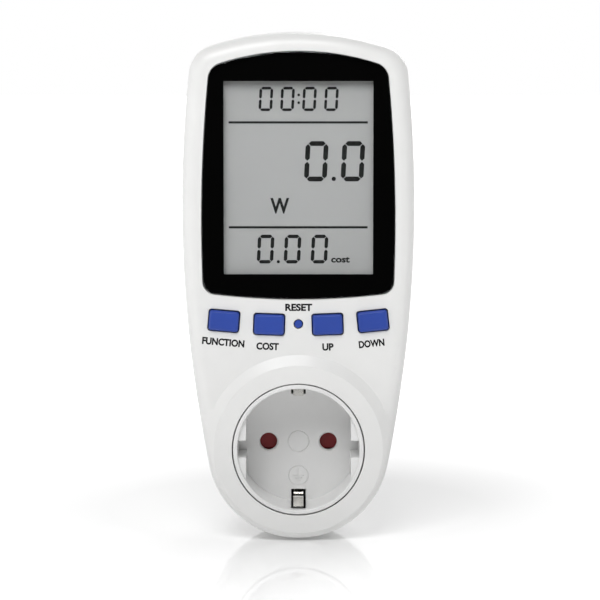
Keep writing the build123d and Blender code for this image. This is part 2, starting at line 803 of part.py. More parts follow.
def contact_carrier():
    """A round insulating block behind the floor: a track for the shutter and two contact bores."""
    body = rod(0, 0, well_outer - 0.4, carrier_back, carrier_front)
    # the shutter's track, with room for its travel and for the spring above it
    track_back = shutter_back - shutter_gap
    track_width = 2 * (shutter_half_width + shutter_gap)
    low = shutter_half_height + shutter_gap
    high = shutter_half_height + shutter_travel + shutter_gap
    body -= block(0, (high - low) / 2, track_width, high + low, track_back, carrier_front + through)
    body -= block(
        0, (high + spring_top) / 2, 2 * spring_radius + 1.4, spring_top - high + 0.1, track_back,
        carrier_front + through,
    )
    cut_back = carrier_back - through
    earth_width = clip_slot_width + 0.6
    earth_height = well_outer - slot_inner + 4.0
    channel_foot = 6.0
    channel_top = well_outer + 2.5
    for side in (-1, 1):
        body -= rod(side * pin_spacing / 2, 0, contact_outer, cut_back, shutter_back)
        # room for the ears and the screws that hold the carrier to the insert
        x = side * carrier_screw_x
        body -= rod(x, 0, ear_radius + fit_gap, floor_back - ear_length - fit_gap, carrier_front + through)
        body -= rod(x, 0, carrier_screw_radius + 0.2, cut_back, carrier_front)
        body -= rod(x, 0, 2.0, cut_back, carrier_back + 1.4)
        # a pocket for each contact's tail and channels for the two leads on that side
        body -= block(side * lead_outer_x, 3.4, contact_tail_width + 2, 7.2, cut_back, carrier_back + 1.6)
        for lead_x in (lead_inner_x, lead_outer_x):
            body -= block(
                side * lead_x, (channel_foot + channel_top) / 2, 2 * (lead_radius + lead_room) + 0.2,
                channel_top - channel_foot, cut_back, lead_depth + lead_radius + lead_room,
            )
        # slots at top and bottom for the earth strip's ends
        body -= block(
            0, side * (slot_inner + earth_height / 2), earth_width, earth_height, cut_back,
            carrier_front + through,
        )
    # channel across the back for the earth strip
    body -= block(0, 0, earth_width, 3 * well_outer, cut_back, yoke_front + 0.2)
    return body


parts["contact_carrier"] = contact_carrier()
parts["carrier_screws"] = group(
    cross_screw(
        side * carrier_screw_x, 0, carrier_screw_radius, carrier_head_radius, carrier_head_height,
        floor_back - 0.8, carrier_back + 1.3,
    )
    for side in (-1, 1)
)


def pin_contact(side):
    """A rolled spring sleeve for one pin, slit on both sides, with a tail for its lead."""
    x = side * pin_spacing / 2
    front = shutter_back - 0.8
    back = carrier_back + 0.6
    bore = pin_radius + 0.1
    sleeve = tube(x, 0, bore + contact_wall, bore, back, front)
    sleeve -= block(x, 0, 0.8, 20, back + 3, front + through)
    foot = tube(x, 0, contact_outer - touch_gap, bore, back, back + 1.4)
    tail = block(side * lead_outer_x, 4.6, contact_tail_width, 3.6, back, back + 0.8)
    return sleeve + foot + tail


parts["line_contact"] = pin_contact(-1)
parts["neutral_contact"] = pin_contact(1)

# ---- earth clips ---------------------------------------------------------------------------


def earth_clip(side):
    """A sprung finger with a rolled fold at its root and a bulge that meets a plug's side contact."""
    outline = [
        (clip_fold_depth, clip_fold_height),
        (floor_back + 2.4, clip_fold_height - 0.2),
        (floor_depth + 1.5, clip_fold_height - 0.9),
        (boss_depth - 7.5, clip_bulge_height + clip_thickness / 2),
        (boss_depth - 4.2, clip_fold_height + 0.1),
    ]
    points = [(0, -depth, side * height) for depth, height in outline]
    line = FilletPolyline(*points, radius=clip_bend_radius)
    section = Plane(origin=line @ 0, x_dir=(1, 0, 0), z_dir=line % 0) * Rectangle(clip_width, clip_thickness)
    fold = Rot(0, 90, 0) * Cylinder(clip_fold_radius, clip_width)
    return sweep(section, path=line) + Pos(0, -clip_fold_depth, side * clip_fold_height) * fold


def earth_yoke():
    """The strip behind the carrier whose two ends curl round the clips' folds."""
    cradle_inner = clip_fold_radius + clip_fold_gap
    cradle_outer = cradle_inner + cradle_wall
    body = block(0, 0, clip_width, 2 * (clip_fold_height + cradle_outer), yoke_back, yoke_front)
    for side in (-1, 1):
        leg_height = side * (clip_fold_height + cradle_outer - cradle_wall / 2)
        body += block(0, leg_height, clip_width, cradle_wall, yoke_back, clip_fold_depth)
        ring = Cylinder(cradle_outer, clip_width) - Cylinder(cradle_inner, 2 * clip_width)
        cradle = Pos(0, -clip_fold_depth, side * clip_fold_height) * Rot(0, 90, 0) * ring
        mouth = block(
            0, side * (clip_fold_height - 1.05), 2 * clip_width, 3.9, clip_fold_depth - 0.6,
            clip_fold_depth + 4,
        )
        body += cradle - mouth
    return body - rod(0, 0, earth_rivet_radius + thread_gap, yoke_back - through, yoke_front + through)


parts["earth_clip_upper"] = earth_clip(1)
parts["earth_clip_lower"] = earth_clip(-1)
parts["earth_yoke"] = earth_yoke()

# ---- plug ----------------------------------------------------------------------------------


def plug_section(inset=0.0):
    """A round section with two side flats."""
    return Circle(plug_radius - inset) & Rectangle(2 * (plug_flat - inset), 4 * plug_radius)


def plug_body():
    """The plug's moulding: grooves in its flats, bays for the side contacts and a flange inside."""
    body = slab(plug_section(), 0, inner_back)
    body = fillet(back_edges(body), plug_edge_radius)
    body += rod(0, 0, plug_radius + plug_flange_width, inner_back, inner_back + plug_flange_thickness)
    body -= slab(plug_section(plug_wall), plug_face_thickness, inner_back + plug_flange_thickness + through)
    for side in (-1, 1):
        body -= block(
            side * (plug_flat + 0.1), 0, plug_wall, key_notch_width - 0.4, -through, plug_groove_length
        )
        body -= block(
            0, side * (plug_radius + 0.2), side_contact_width + 2 * fit_gap, 2.4, -through, plug_groove_length
        )
        # moulded seats of the pins, with a groove for each pin's collar
        x = side * pin_spacing / 2
        body += rod(x, 0, pin_collar_radius + 1.35, plug_face_thickness - join, 8.0)
        body -= rod(x, 0, pin_radius + 0.01, -through, pin_seat + 0.01)
        body -= rod(x, 0, pin_tail_radius + 0.01, 0, 9.0)
        body -= rod(x, 0, pin_collar_radius + touch_gap, collar_depth, collar_depth + collar_length)
        # slots that let the contact straps through to the inside
        body -= block(
            0, side * (plug_radius - 2.2), side_contact_width - 1.4, 3.4, strap_slot_depth,
            strap_slot_depth + strap_slot_width,
        )
    return body


def plug_pin(side):
    """A turned pin with a rounded end, a collar held in the moulding and a drilled tail."""
    x = side * pin_spacing / 2
    pin = rod(x, 0, pin_radius, -pin_length, pin_seat)
    pin = fillet(back_edges(pin), pin_end_radius)
    pin += rod(x, 0, pin_tail_radius, pin_seat - 0.1, pin_tail_length)
    pin += rod(x, 0, pin_collar_radius, collar_depth + touch_gap, collar_depth + collar_length - touch_gap)
    return pin - rod(x, 0, pin_tail_bore, 8.0, pin_tail_length + through)


def plug_earth_plate(side):
    """A bent strip that lies in its bay, with a strap through the slot into the plug."""
    outer = plug_radius - 0.3
    middle = side * (outer - side_contact_thickness / 2)
    tip = strap_slot_depth + strap_slot_width
    plate = block(0, middle, side_contact_width, side_contact_thickness, 0.6, tip)
    strap = block(0, side * (plug_radius - 3.3), side_contact_width - 2.0, 5.4, tip - 1.4, tip - 0.6)
    outward = plate.faces().sort_by(Axis.Z)[-1 if side > 0 else 0]
    return chamfer(outward.edges(), 0.2) + strap


parts["plug_body"] = plug_body()
parts["plug_pin_line"] = plug_pin(-1)
parts["plug_pin_neutral"] = plug_pin(1)
parts["plug_earth_plates"] = group(plug_earth_plate(side) for side in (-1, 1))

# ---- power board ---------------------------------------------------------------------------


def power_board():
    board = rounded_block(
        0, power_middle, 2 * power_board_half_width, power_board_height, 2.0, power_board_depth, power_front
    )
    for x, z in power_posts:
        board -= rod(x, z, board_screw_radius + 0.3, power_board_depth - through, power_front + through)
    return board


def power_board_screw(x, z):
    shank = rod(x, z, board_screw_radius - thread_gap, power_board_depth - 4, power_front)
    head = rod(x, z, board_head_radius, power_front, power_front + board_head_height)
    return shank + fillet(front_edges(head), 0.6)


def row(share):
    """A height on the power board, as a share of the way up it."""
    return power_board_bottom + share * power_board_height


shunt_row = lead_end_height + 1.0
cell_row = shunt_row + shunt_width / 2 + cell_radius + 2.6
metering_row = cell_row + cell_radius + 1.5 + metering_chip_height / 2


def lying(x, z, radius, length):
    """A round part that lies along X on the power board."""
    return at(power_front + radius + touch_gap) * Pos(x, z) * Rot(0, 90, 0) * Cylinder(radius, length)


parts["power_board"] = power_board()
parts["power_board_screws"] = group(power_board_screw(x, z) for x, z in power_posts)
parts["film_capacitor"] = fillet(
    front_edges(block(-12.0, row(0.82), 18.0, 8.5, power_front, power_front + 11.0)), 0.8
)
parts["electrolytic_capacitors"] = group(
    fillet(front_edges(rod(x, row(0.83), 4.0, power_front, power_front + 10.5)), 0.5) for x in (8.0, 17.5)
)
disc = fillet(Cylinder(5.0, 4.0).edges().filter_by(GeomType.CIRCLE), 1.2)
parts["varistor"] = at(power_front + 6.4) * Pos(-19.0, row(0.65)) * Rot(0, 90, 0) * disc
parts["metering_chip"] = flat_chip(0, metering_row, 7.6, metering_chip_height, 2.2, 12, power_front, 1)
parts["diodes"] = group(lying(21.0, row(0.58) + 4.0 * n, 1.35, 5.2) for n in range(3))
parts["resistors"] = group(lying(13.0, row(0.35) + 3.8 * n, 1.2, 6.4) for n in range(4))
parts["fuse"] = lying(-17.0, row(0.42), 2.6, 16.0)


def current_shunt():
    """A bent resistance strip that stands on two feet."""
    span = 10.0
    thickness = 1.2
    rise = 6.4
    middle = -(lead_inner_x + lead_outer_x) / 2
    strip = block(middle, shunt_row, span, shunt_width, power_front + rise - thickness, power_front + rise)
    for side in (-1, 1):
        foot_x = middle + side * (span - thickness) / 2
        strip += block(foot_x, shunt_row, thickness, shunt_width, power_front, power_front + rise - 0.4)
    return strip


cell_depth = power_front + cell_radius + 0.3


def backup_cell(n):
    """One of the button cells that stand side by side."""
    x = (n - (cell_count - 1) / 2) * cell_length
    can = Pos(x, -cell_depth, cell_row) * Rot(0, 90, 0) * Cylinder(cell_radius, cell_length - fit_gap)
    return fillet(can.edges().filter_by(GeomType.CIRCLE), 0.7)


def battery_tab(side):
    rise = cell_depth - power_front
    x = side * (cell_count * cell_length / 2 + 0.1)
    return block(x, cell_row, 0.3, 4.0, power_front, power_front + rise)


parts["current_shunt"] = current_shunt()
parts["backup_cells"] = group(backup_cell(n) for n in range(cell_count))
parts["battery_tabs"] = group(battery_tab(side) for side in (-1, 1))
parts["board_header"] = block(
    power_board_half_width - 4.4, power_board_bottom + 17.0, 2.5, 15.0, power_front, main_board_depth
)

# ---- leads ---------------------------------------------------------------------------------


def lead(points, radii):
    """An insulated wire along straight runs joined by round bends."""
    line = FilletPolyline(*[(x, -depth, z) for x, depth, z in points], radius=radii)
    section = Plane(origin=line @ 0, z_dir=line % 0) * Circle(lead_radius)
    return sweep(section, path=line)


def feed_lead(side):
    """From the drilled tail of a plug pin up to the back of the power board."""
    pin_x = side * pin_spacing / 2
    x = side * lead_inner_x
    points = [
        (pin_x, 8.6, 0),
        (pin_x, 17.0, 0),
        (x, inner_back + 0.2, 4.5),
        (x, lead_depth, 13.5),
        (x, lead_depth, lead_end_height),
    ]
    return lead(points, [3.2, 4.0, 8.0])


def load_lead(side):
    """From a contact's tail up to the back of the power board."""
    x = side * lead_outer_x
    start = carrier_back + 0.5 - lead_radius
    points = [(x, start, 3.2), (x, start, 6.4), (x, lead_depth, 12.0), (x, lead_depth, lead_end_height)]
    return lead(points, [4.0, 6.0])


parts["line_feed_lead"] = feed_lead(-1)
parts["line_load_lead"] = load_lead(-1)
parts["neutral_feed_lead"] = feed_lead(1)
parts["neutral_load_lead"] = load_lead(1)

# ---- earth link and insulating sheet ---------------------------------------------------------


def earth_link():
    """A strip that joins the plug's two side contacts, and a post riveted to the yoke."""
    back = strap_slot_depth + 1.45
    front = back + yoke_thickness
    link = block(0, 0, clip_width, 2 * (plug_radius - 4.9), back, front)
    link += rod(0, 0, 1.6, front - 0.4, yoke_back)
    return link + rod(0, 0, earth_rivet_radius, yoke_back - join, yoke_front + 0.2)


def insulating_sheet():
    back = inner_back + sheet_lift
    front = back + sheet_thickness
    width = 2 * (power_board_half_width - 2.0)
    sheet = rounded_block(0, power_middle, width, power_board_height - 5.0, 2.0, back, front)
    for x, z in power_posts:
        sheet -= rod(x, z, power_post_radius + 0.4, back - through, front + through)
    return sheet


parts["earth_link"] = earth_link()
parts["insulating_sheet"] = insulating_sheet()

os.makedirs("parts", exist_ok=True)
for name, solid in parts.items():
    export_step(solid, "parts/" + name + ".step")
    print(name, round(solid.volume, 1), solid.is_valid)
print(len(parts), "nodes")
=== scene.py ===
import bpy
import bmesh
import json
from math import cos, pi, radians, sin
from mathutils import Matrix, Vector


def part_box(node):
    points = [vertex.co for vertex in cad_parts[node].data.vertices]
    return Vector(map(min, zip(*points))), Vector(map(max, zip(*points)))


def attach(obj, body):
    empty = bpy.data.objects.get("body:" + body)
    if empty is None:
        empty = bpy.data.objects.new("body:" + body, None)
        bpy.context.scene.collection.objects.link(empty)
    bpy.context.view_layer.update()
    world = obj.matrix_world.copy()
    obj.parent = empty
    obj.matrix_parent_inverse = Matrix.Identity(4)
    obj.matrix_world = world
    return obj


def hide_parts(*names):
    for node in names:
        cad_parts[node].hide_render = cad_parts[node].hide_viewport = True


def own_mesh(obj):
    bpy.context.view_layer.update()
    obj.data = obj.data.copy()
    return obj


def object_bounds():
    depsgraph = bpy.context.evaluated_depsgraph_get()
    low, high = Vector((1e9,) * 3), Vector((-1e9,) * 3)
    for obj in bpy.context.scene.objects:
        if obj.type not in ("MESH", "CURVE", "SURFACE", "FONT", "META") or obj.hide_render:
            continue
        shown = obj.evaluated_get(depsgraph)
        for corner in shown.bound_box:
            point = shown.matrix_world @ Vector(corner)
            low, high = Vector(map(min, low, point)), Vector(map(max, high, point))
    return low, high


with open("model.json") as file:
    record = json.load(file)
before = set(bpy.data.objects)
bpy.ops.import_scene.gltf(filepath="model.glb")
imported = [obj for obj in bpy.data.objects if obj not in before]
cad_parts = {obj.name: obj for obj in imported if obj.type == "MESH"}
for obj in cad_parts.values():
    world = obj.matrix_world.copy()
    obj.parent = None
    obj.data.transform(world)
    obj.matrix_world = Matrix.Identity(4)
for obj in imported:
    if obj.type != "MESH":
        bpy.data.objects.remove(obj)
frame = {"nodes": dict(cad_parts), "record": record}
cad_low, cad_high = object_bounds()
MM = 0.001


# ---- Rear shell ----------------------------------------------------------------------------
# The back half of the housing: a tray injection-moulded in white ABS with a lightly eroded
# outside. It carries the plug, the power board's posts and the four deep screw wells.

def new_group(name, inputs, outputs):
    """An empty shader group with its named sockets; returns the tree, its input and its output."""
    tree = bpy.data.node_groups.new(name, "ShaderNodeTree")
    for label, kind, default in inputs:
        socket = tree.interface.new_socket(label, in_out="INPUT", socket_type="NodeSocket" + kind)
        socket.default_value = default
    for label, kind in outputs:
        tree.interface.new_socket(label, in_out="OUTPUT", socket_type="NodeSocket" + kind)
    return tree, tree.nodes.new("NodeGroupInput"), tree.nodes.new("NodeGroupOutput")


def add(tree, kind, **settings):
    """A node of one kind with its properties set."""
    node = tree.nodes.new("ShaderNode" + kind)
    for key, value in settings.items():
        setattr(node, key, value)
    return node


def wire(tree, source, target):
    tree.links.new(source, target)


def math_node(tree, operation, first, second):
    """A Math node whose two inputs are each a socket or a number."""
    node = add(tree, "Math", operation=operation)
    for socket, value in zip(node.inputs, (first, second)):
        if isinstance(value, (int, float)):
            socket.default_value = value
        else:
            wire(tree, value, socket)
    return node.outputs[0]


def noise(tree, vector, scale, detail=2.0, roughness=0.5):
    """A noise texture on a vector; the scale is a socket or a number."""
    node = add(tree, "TexNoise")
    wire(tree, vector, node.inputs["Vector"])
    if isinstance(scale, (int, float)):
        node.inputs["Scale"].default_value = scale
    else:
        wire(tree, scale, node.inputs["Scale"])
    node.inputs["Detail"].default_value = detail
    node.inputs["Roughness"].default_value = roughness
    return node.outputs["Fac"]


def ramp(tree, value, low, high, to_low=0.0, to_high=1.0):
    """Stretches a value from one range to another, and stops at the ends."""
    node = add(tree, "MapRange")
    wire(tree, value, node.inputs["Value"])
    for label, number in (("From Min", low), ("From Max", high), ("To Min", to_low), ("To Max", to_high)):
        if isinstance(number, (int, float)):
            node.inputs[label].default_value = number
        else:
            wire(tree, number, node.inputs[label])
    return node.outputs["Result"]


def blend_colour(tree, share, first, second, mode="MIX"):
    """Mixes two colours by a share; each input is a socket or a plain value."""
    node = add(tree, "Mix", data_type="RGBA", blend_type=mode)
    for socket, value in zip((node.inputs[0], node.inputs[6], node.inputs[7]), (share, first, second)):
        if isinstance(value, bpy.types.NodeSocket):
            wire(tree, value, socket)
        else:
            socket.default_value = value
    return node.outputs[2]


def mould_grain_group():
    """The eroded skin of a moulding: fine grain, soft flow waves, and patches that are duller."""
    tree, given, out = new_group(
        "mould grain",
        [("Grain Scale", "Float", 3000.0), ("Roughness", "Float", 0.4), ("Spread", "Float", 0.08)],
        [("Height", "Float"), ("Roughness", "Float")],
    )
    place = add(tree, "TexCoord").outputs["Object"]
    fine = noise(tree, place, given.outputs["Grain Scale"], 3.0, 0.6)
    cell = add(tree, "TexVoronoi", feature="SMOOTH_F1")
    wire(tree, place, cell.inputs["Vector"])
    wire(tree, math_node(tree, "MULTIPLY", given.outputs["Grain Scale"], 0.55), cell.inputs["Scale"])
    grain = math_node(tree, "ADD", fine, math_node(tree, "MULTIPLY", cell.outputs["Distance"], 0.5))
    flow = noise(tree, place, 90.0, 1.0)
    wire(tree, math_node(tree, "ADD", grain, math_node(tree, "MULTIPLY", flow, 0.8)), out.inputs["Height"])
    patch = ramp(tree, noise(tree, place, 140.0, 5.0, 0.65), 0.3, 0.7, -1.0, 1.0)
    shift = math_node(tree, "MULTIPLY", patch, given.outputs["Spread"])
    wire(tree, math_node(tree, "ADD", given.outputs["Roughness"], shift), out.inputs["Roughness"])
    return tree


def tone_drift_group():
    """Slow changes of tone over a piece, with a few fine darker specks in the resin."""
    tree, given, out = new_group(
        "tone drift",
        [("Color", "Color", (0.8, 0.8, 0.8, 1.0)), ("Second Color", "Color", (0.7, 0.7, 0.7, 1.0)),
         ("Patch Scale", "Float", 45.0), ("Specks", "Float", 0.1)],
        [("Color", "Color")],
    )
    place = add(tree, "TexCoord").outputs["Object"]
    patch = ramp(tree, noise(tree, place, given.outputs["Patch Scale"], 4.0, 0.6), 0.35, 0.7)
    toned = blend_colour(tree, patch, given.outputs["Color"], given.outputs["Second Color"])
    speck = ramp(tree, noise(tree, place, 2600.0, 1.0), 0.74, 0.8)
    share = math_node(tree, "MULTIPLY", speck, given.outputs["Specks"])
    specked = blend_colour(tree, share, toned, given.outputs["Second Color"], "MULTIPLY")
    wire(tree, specked, out.inputs["Color"])
    return tree


def edge_highlight_and_corner_shade_group():
    """Masks of the edges, which get a painted highlight and a glossier finish, and of the sheltered
    corners, which get a painted shade.
    """
    tree, given, out = new_group(
        "edge rub",
        [("Edge Width", "Float", 0.0004), ("Rub", "Float", 0.5), ("Dust", "Float", 0.5)],
        [("Rub", "Float"), ("Dust", "Float")],
    )
    place = add(tree, "TexCoord").outputs["Object"]
    rounded = add(tree, "Bevel", samples=4)
    wire(tree, given.outputs["Edge Width"], rounded.inputs["Radius"])
    facing = add(tree, "VectorMath", operation="DOT_PRODUCT")
    wire(tree, rounded.outputs["Normal"], facing.inputs[0])
    wire(tree, add(tree, "NewGeometry").outputs["Normal"], facing.inputs[1])
    edge = ramp(tree, math_node(tree, "SUBTRACT", 1.0, facing.outputs["Value"]), 0.02, 0.25)
    broken = ramp(tree, noise(tree, place, 320.0, 4.0, 0.7), 0.4, 0.62)
    # Edges picked out by this mask are painted lighter as a highlight, and are made glossier too.
    rub = math_node(tree, "MULTIPLY", math_node(tree, "MULTIPLY", edge, broken), given.outputs["Rub"])
    wire(tree, rub, out.inputs["Rub"])
    # Corners that ambient occlusion finds sheltered are painted darker: painted shade.
    corner_reach = 1.2 * MM
    shelter = add(tree, "AmbientOcclusion", samples=4)
    shelter.inputs["Distance"].default_value = corner_reach
    corner = ramp(tree, shelter.outputs["AO"], 0.75, 0.25)
    wire(tree, math_node(tree, "MULTIPLY", corner, given.outputs["Dust"]), out.inputs["Dust"])
    return tree


mould_grain = mould_grain_group()
tone_drift = tone_drift_group()
edge_highlight_and_corner_shade = edge_highlight_and_corner_shade_group()


def place_group(tree, group, **values):
    """A node of a shared group, with the inputs that the material sets for itself."""
    node = add(tree, "Group", node_tree=group)
    for key, value in values.items():
        node.inputs[key.replace("_", " ").title()].default_value = value
    return node


def new_material(name, **sockets):
    """A material and its Principled shader, with plain values set on the shader's own sockets."""
    material = bpy.data.materials.new(name)
    material.use_nodes = True
    shader = material.node_tree.nodes["Principled BSDF"]
    for key, value in sockets.items():
        shader.inputs[key.replace("_", " ").title().replace("Ior", "IOR")].default_value = value
    return material, material.node_tree, shader


def tinted(colour, factor):
    return (colour[0] * factor, colour[1] * factor, colour[2] * factor, 1.0)


def relief(tree, height, shader, depth, edge_width=0.0):
    """Feeds a height to the shader's normal, over edges that are rounded by edge_width."""
    bump = add(tree, "Bump")
    bump.inputs["Strength"].default_value = 1.0
    bump.inputs["Distance"].default_value = depth
    wire(tree, height, bump.inputs["Height"])
    if edge_width:
        rounded = add(tree, "Bevel", samples=4)
        rounded.inputs["Radius"].default_value = edge_width
        wire(tree, rounded.outputs["Normal"], bump.inputs["Normal"])
    wire(tree, bump.outputs["Normal"], shader.inputs["Normal"])


def moulded(name, colour, roughness, grain=3000.0, depth=0.004 * MM, drift=0.95, rub=0.4, dust=0.25,
            edge_width=0.25 * MM, specks=0.12, spread=0.2, **sockets):
    """Injection-moulded plastic in one colour, with a painted highlight along its edges and a painted shade
    in its corners.
    """
    material, tree, shader = new_material(name, **sockets)
    tone = place_group(tree, tone_drift, color=tinted(colour, 1.0), second_color=tinted(colour, drift),
                       specks=specks)
    skin = place_group(tree, mould_grain, grain_scale=grain, roughness=roughness, spread=roughness * spread)
    highlight_and_shade = place_group(tree, edge_highlight_and_corner_shade, edge_width=edge_width * 1.6, rub=rub, dust=dust)
    # The edges are painted lighter, a painted highlight; their roughness is lowered as well.
    edge_highlighted = blend_colour(tree, highlight_and_shade.outputs["Rub"], tone.outputs["Color"], tinted(colour, 1.12))
    # Sheltered corners are painted darker, towards 0.55 of the colour: painted shade.
    corner_shaded = blend_colour(tree, highlight_and_shade.outputs["Dust"], edge_highlighted, tinted(colour, 0.55))
    wire(tree, corner_shaded, shader.inputs["Base Color"])
    gloss = math_node(tree, "MULTIPLY", highlight_and_shade.outputs["Rub"], roughness * 0.35)
    wire(tree, math_node(tree, "SUBTRACT", skin.outputs["Roughness"], gloss), shader.inputs["Roughness"])
    relief(tree, skin.outputs["Height"], shader, depth, edge_width)
    return material


merge_distance = 0.002 * MM


def smooth_skin(node, body, material, crease=28.0):
    """A merged copy of a moulding that shades smooth over its rounded edges and crisp at the others."""
    mesh = frame["nodes"][node].data.copy()
    mesh.name = node + "_skin"
    form = bmesh.new()
    form.from_mesh(mesh)
    bmesh.ops.remove_doubles(form, verts=form.verts, dist=merge_distance)
    for face in form.faces:
        face.smooth = True
    for edge in form.edges:
        edge.smooth = edge.calc_face_angle(0.0) < radians(crease)
    form.to_mesh(mesh)
    form.free()
    if "custom_normal" in mesh.attributes:
        mesh.attributes.remove(mesh.attributes["custom_normal"])
    mesh.materials.clear()
    mesh.materials.append(material)
    piece = bpy.data.objects.new(node + "_skin", mesh)
    bpy.context.scene.collection.objects.link(piece)
    shading = piece.modifiers.new("even shading", "WEIGHTED_NORMAL")
    shading.keep_sharp = True
    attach(piece, body)
    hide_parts(node)
    return piece


def finish_node(material, *nodes):
    """Gives carried-over pieces their finish."""
    for node in nodes:
        for slot in frame["nodes"][node].material_slots:
            slot.material = material


housing_white = moulded("housing white ABS", (0.80, 0.80, 0.79), 0.36, grain=2600.0, drift=0.965, dust=0.3)
smooth_skin("rear_shell", "housing", housing_white)


# ---- Rating plate --------------------------------------------------------------------------
# A thin satin foil plate let into the back. It is left blank apart from the plain rules of an
# empty table, screen-printed on it in grey ink.

def streak_group():
    """Drawn metal: long fine streaks along Z, with cloudier patches of plating between them."""
    tree, given, out = new_group(
        "drawn streaks",
        [("Color", "Color", (0.7, 0.7, 0.7, 1.0)), ("Roughness", "Float", 0.3),
         ("Streak Scale", "Float", 900.0), ("Tarnish", "Float", 0.2)],
        [("Color", "Color"), ("Roughness", "Float"), ("Height", "Float")],
    )
    place = add(tree, "TexCoord").outputs["Object"]
    stretch = add(tree, "Mapping")
    stretch.inputs["Scale"].default_value = (1.0, 1.0, 0.04)
    wire(tree, place, stretch.inputs["Vector"])
    streak = noise(tree, stretch.outputs["Vector"], given.outputs["Streak Scale"], 4.0, 0.65)
    cloud = ramp(tree, noise(tree, place, 160.0, 5.0, 0.6), 0.42, 0.68)
    dull = math_node(tree, "MULTIPLY", cloud, given.outputs["Tarnish"])
    darker = blend_colour(tree, 1.0, given.outputs["Color"], (0.62, 0.58, 0.52, 1.0), "MULTIPLY")
    wire(tree, blend_colour(tree, dull, given.outputs["Color"], darker), out.inputs["Color"])
    rough = math_node(tree, "ADD", given.outputs["Roughness"], math_node(tree, "MULTIPLY", dull, 0.3))
    spread = math_node(tree, "MULTIPLY", math_node(tree, "SUBTRACT", streak, 0.5), 0.25)
    wire(tree, math_node(tree, "ADD", rough, spread), out.inputs["Roughness"])
    wire(tree, streak, out.inputs["Height"])
    return tree


drawn_streaks = streak_group()


def metal(name, colour, roughness, streaks=900.0, tarnish=0.2, depth=0.002 * MM, edge_width=0.12 * MM):
    """A bare or plated metal."""
    material, tree, shader = new_material(name, metallic=1.0)
    face = place_group(tree, drawn_streaks, color=tinted(colour, 1.0), roughness=roughness,
                       streak_scale=streaks, tarnish=tarnish)
    wire(tree, face.outputs["Color"], shader.inputs["Base Color"])
    wire(tree, face.outputs["Roughness"], shader.inputs["Roughness"])
    relief(tree, face.outputs["Height"], shader, depth, edge_width)
    return material


def printed_ink(name, colour, roughness=0.45, gloss=0.25):
    """Screen-printed ink, a little thin where the mesh left it open."""
    material, tree, shader = new_material(name, specular_ior_level=gloss)
    tone = place_group(tree, tone_drift, color=tinted(colour, 1.0), second_color=tinted(colour, 1.9),
                       patch_scale=900.0, specks=0.0)
    wire(tree, tone.outputs["Color"], shader.inputs["Base Color"])
    skin = place_group(tree, mould_grain, grain_scale=5200.0, roughness=roughness, spread=0.1)
    wire(tree, skin.outputs["Roughness"], shader.inputs["Roughness"])
    relief(tree, skin.outputs["Height"], shader, 0.002 * MM)
    return material


def new_piece(name, form, material, body, smooth=False):
    """Turns a finished bmesh into a piece that rides on a body."""
    mesh = bpy.data.meshes.new(name)
    for face in form.faces:
        face.smooth = smooth
    form.to_mesh(mesh)
    form.free()
    mesh.materials.append(material)
    piece = bpy.data.objects.new(name, mesh)
    bpy.context.scene.collection.objects.link(piece)
    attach(piece, body)
    return piece


def flat_bar(form, x, z, width, height, back, front):
    """A thin upright plate from one Y to another, centred on x and z."""
    size = Matrix.Diagonal((width, front - back, height, 1.0))
    middle = Matrix.Translation((x, (back + front) / 2, z))
    return bmesh.ops.create_cube(form, size=1.0, matrix=middle @ size)["verts"]


plate_foil = metal("satin plate foil", (0.66, 0.66, 0.67), 0.38, streaks=1400.0, tarnish=0.12)
finish_node(plate_foil, "rating_plate")
plate_low, plate_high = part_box("rating_plate")
ink_thickness = 0.03 * MM
rule_width = 0.35 * MM
plate_margin = 3.0 * MM
table_rows = 6
table = bmesh.new()
inner_width = plate_high.x - plate_low.x - 2 * plate_margin
inner_height = plate_high.z - plate_low.z - 2 * plate_margin
ink_span = (plate_high.y, plate_high.y + ink_thickness)
for row in range(table_rows + 1):
    row_height = plate_low.z + plate_margin + row * inner_height / table_rows
    flat_bar(table, 0.0, row_height, inner_width + rule_width, rule_width, *ink_span)
plate_middle = (plate_low.z + plate_high.z) / 2
for share in (-0.5, -0.12, 0.5):
    flat_bar(table, share * inner_width, plate_middle, rule_width, inner_height, *ink_span)
plate_ink = printed_ink("plate ink", (0.12, 0.12, 0.13))
new_piece("plate_rules", table, plate_ink, "housing")


# ---- Plug ----------------------------------------------------------------------------------
# The earthed plug that stands out of the back: a white body moulded in one piece with guide
# grooves, two turned and nickelled pins, and the two side plates that meet the wall's clips.

socket_white = moulded("socket white polycarbonate", (0.79, 0.79, 0.785), 0.3, grain=4200.0,
                       depth=0.001 * MM, drift=0.97, dust=0.2, spread=0.08)
smooth_skin("plug_body", "housing", socket_white)
pin_nickel = metal("nickelled pins", (0.74, 0.72, 0.68), 0.2, streaks=1700.0, tarnish=0.35)
finish_node(pin_nickel, "plug_pin_line", "plug_pin_neutral")
earth_nickel = metal("nickelled spring bronze", (0.88, 0.87, 0.84), 0.2, streaks=1200.0, tarnish=0.15)
finish_node(earth_nickel, "plug_earth_plates", "earth_yoke", "earth_link")


# ---- Leads ---------------------------------------------------------------------------------
# Four short insulated wires, brown for the line and blue for the neutral, soldered between the
# plug's pins, the power board and the socket's contacts.

lead_brown = moulded("brown lead insulation", (0.13, 0.05, 0.02), 0.35, drift=0.8)
lead_blue = moulded("blue lead insulation", (0.02, 0.09, 0.42), 0.35, drift=0.8)
finish_node(lead_brown, "line_feed_lead", "line_load_lead")
finish_node(lead_blue, "neutral_feed_lead", "neutral_load_lead")


# ---- Insulating sheet ----------------------------------------------------------------------
# A milky polyester film laid under the power board, punched to clear the four posts.

sheet_film = moulded("milky polyester film", (0.72, 0.72, 0.66), 0.3, drift=0.93)
finish_node(sheet_film, "insulating_sheet")


# ---- Boards --------------------------------------------------------------------------------
# Both printed circuit boards: green solder mask over copper runs that show as lighter lines,
# screwed to posts in the shells with small plated screws.

